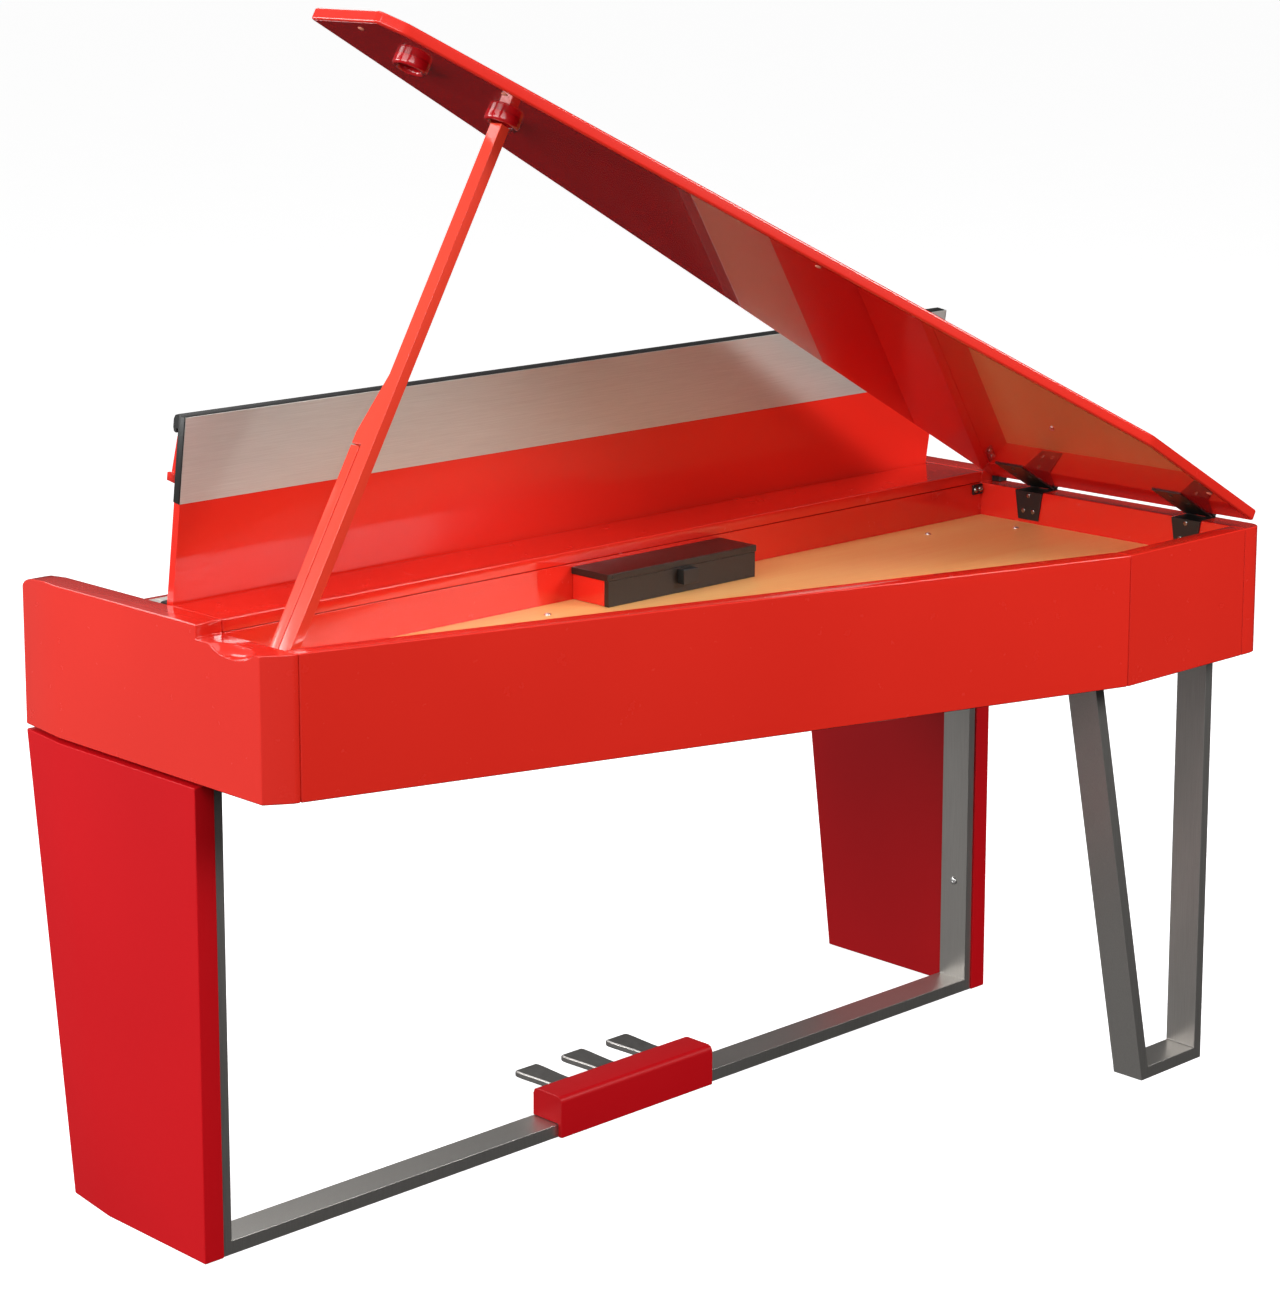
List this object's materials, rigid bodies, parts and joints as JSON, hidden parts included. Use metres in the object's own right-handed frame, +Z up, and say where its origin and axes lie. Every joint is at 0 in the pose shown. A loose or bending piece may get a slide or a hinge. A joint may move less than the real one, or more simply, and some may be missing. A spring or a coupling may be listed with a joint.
{
  "type": "digital grand piano",
  "caption": "Small lacquered digital grand piano with a propped lid, a leaning key cover with a brushed strip, side leg panels, a steel tail leg and foot pedals.",
  "frame": {"origin": "on the floor, under the centre of the bounding box", "axes": "+Z up, +X towards the treble side (the player's right), -Y towards the player, +Y towards the tail"},
  "size_m": [1.48, 0.86, 1.5315],
  "materials": {
    "case_lacquer": "gloss",
    "cover_lacquer": "gloss",
    "ledge_lacquer": "gloss",
    "lid_lacquer": "mirror gloss",
    "cup_lacquer": "gloss",
    "prop_lacquer": "gloss",
    "module_lacquer": "gloss",
    "leg_lacquer": "satin",
    "pedal_box_lacquer": "satin",
    "bottom_black": "matte",
    "soundboard_wood": "satin",
    "batten_wood": "raw",
    "screw_steel": "satin",
    "key_white": "gloss",
    "key_black": "satin",
    "frame_metal": "satin",
    "panel_black": "satin",
    "button_black": "satin",
    "knob_black": "satin",
    "strip_nickel": "brushed",
    "lip_black": "satin",
    "hinge_black": "satin",
    "pin_steel": "polished",
    "module_black": "satin",
    "latch_black": "satin",
    "speaker_black": "matte",
    "circuit_green": "satin",
    "inlet_black": "matte",
    "leg_steel": "satin",
    "pedal_metal": "polished dark"
  },
  "bodies": {
    "case": {"treble_cheek": "case_lacquer", "bass_side_panel": "case_lacquer", "long_rear_panel": "case_lacquer", "tail_panel": "case_lacquer", "bottom_board": "bottom_black", "key_slip": "case_lacquer", "front_beam": "case_lacquer", "cover_shelf": "case_lacquer", "soundboard": "soundboard_wood", "soundboard_battens": "batten_wood", "soundboard_screw_1": "screw_steel", "soundboard_screw_2": "screw_steel", "soundboard_screw_3": "screw_steel", "key_frame": "frame_metal", "treble_key_block": "case_lacquer", "bass_key_block": "case_lacquer", "control_panel": "panel_black", "front_hinge_case_leaf": "hinge_black", "front_hinge_pin": "pin_steel", "rear_hinge_case_leaf": "hinge_black", "rear_hinge_pin": "pin_steel", "corner_plate": "hinge_black", "beam_bracket": "hinge_black", "prop_bracket": "hinge_black", "prop_pin": "pin_steel", "module_body": "module_lacquer", "module_rear_panel": "module_black", "module_top_plate": "module_black", "module_latch": "latch_black", "treble_speaker": "speaker_black", "bass_speaker": "speaker_black", "main_board": "circuit_green", "power_supply": "frame_metal", "power_inlet": "inlet_black", "treble_leg_panel": "leg_lacquer", "bass_leg_panel": "leg_lacquer", "leg_frame": "leg_steel", "treble_leg_screw": "screw_steel", "bass_leg_screw": "screw_steel", "tail_leg": "leg_steel", "pedal_box": "pedal_box_lacquer", "pedal_axle": "pin_steel"},
    "lid": {"lid_panel": "lid_lacquer", "high_prop_cup": "cup_lacquer", "low_prop_cup": "cup_lacquer", "front_hinge_lid_leaf": "hinge_black", "rear_hinge_lid_leaf": "hinge_black"},
    "key_cover": {"key_cover_board": "cover_lacquer", "cover_metal_strip": "strip_nickel", "cover_lip_profile": "lip_black"},
    "music_ledge_body": {"music_ledge": "ledge_lacquer"},
    "prop": {"prop_stick": "prop_lacquer"},
    "half_prop": {"half_prop_stick": "prop_lacquer"},
    "white_key_set": {"white_keys": "key_white"},
    "black_key_set": {"black_keys": "key_black"},
    "left_pedal_body": {"left_pedal": "pedal_metal"},
    "middle_pedal_body": {"middle_pedal": "pedal_metal"},
    "right_pedal_body": {"right_pedal": "pedal_metal"},
    "power_button_body": {"power_button": "button_black"},
    "volume_knob_body": {"volume_knob": "knob_black"}
  },
  "joints": [
    {"name": "lid_hinge", "type": "hinge", "parent": "case", "child": "lid", "pos_m": [-0.732, 0.1872, 0.801], "axis": [0, -1, 0], "range_deg": [0, 20]},
    {"name": "key_cover_hinge", "type": "hinge", "parent": "case", "child": "key_cover", "pos_m": [0, -0.161, 0.802], "axis": [1, 0, 0], "range_deg": [0, 98.5]},
    {"name": "music_ledge_hinge", "type": "hinge", "parent": "key_cover", "child": "music_ledge_body", "pos_m": [0, -0.15293, 0.96763], "axis": [-1, 0, 0], "range_deg": [-85, 0]},
    {"name": "prop_pivot", "type": "hinge", "parent": "case", "child": "prop", "pos_m": [0.69, 0.05, 0.771], "axis": [0, -1, 0], "range_deg": [0, 59]},
    {"name": "half_prop_pivot", "type": "hinge", "parent": "case", "child": "half_prop", "pos_m": [0.69, 0.038, 0.771], "axis": [0, -1, 0], "range_deg": [0, 59]},
    {"name": "white_key_travel", "type": "hinge", "parent": "case", "child": "white_key_set", "pos_m": [0, -0.19, 0.74], "axis": [1, 0, 0], "range_deg": [0, 2.6], "stiffness_Nm_per_rad": 60, "springref_deg": -17.19},
    {"name": "black_key_travel", "type": "hinge", "parent": "case", "child": "black_key_set", "pos_m": [0, -0.19, 0.74], "axis": [1, 0, 0], "range_deg": [0, 2.6], "stiffness_Nm_per_rad": 20, "springref_deg": -17.19},
    {"name": "right_pedal_travel", "type": "hinge", "parent": "case", "child": "right_pedal_body", "pos_m": [0.0895, -0.072, 0.045], "axis": [1, 0, 0], "range_deg": [0, 5], "stiffness_Nm_per_rad": 8, "springref_deg": -5.73},
    {"name": "middle_pedal_travel", "type": "hinge", "parent": "case", "child": "middle_pedal_body", "pos_m": [0.003, -0.072, 0.045], "axis": [1, 0, 0], "range_deg": [0, 5], "stiffness_Nm_per_rad": 8, "springref_deg": -5.73},
    {"name": "left_pedal_travel", "type": "hinge", "parent": "case", "child": "left_pedal_body", "pos_m": [-0.0835, -0.072, 0.045], "axis": [1, 0, 0], "range_deg": [0, 5], "stiffness_Nm_per_rad": 8, "springref_deg": -5.73},
    {"name": "power_button_travel", "type": "slide", "parent": "case", "child": "power_button_body", "axis": [0, 0, -1], "range_m": [0, 0.0015], "stiffness_N_per_m": 400, "springref_m": -0.001},
    {"name": "volume_knob_turn", "type": "hinge", "parent": "case", "child": "volume_knob_body", "pos_m": [-0.58, -0.21775, 0.78], "axis": [0, 0, -1], "range_deg": [-140, 140]}
  ]
}
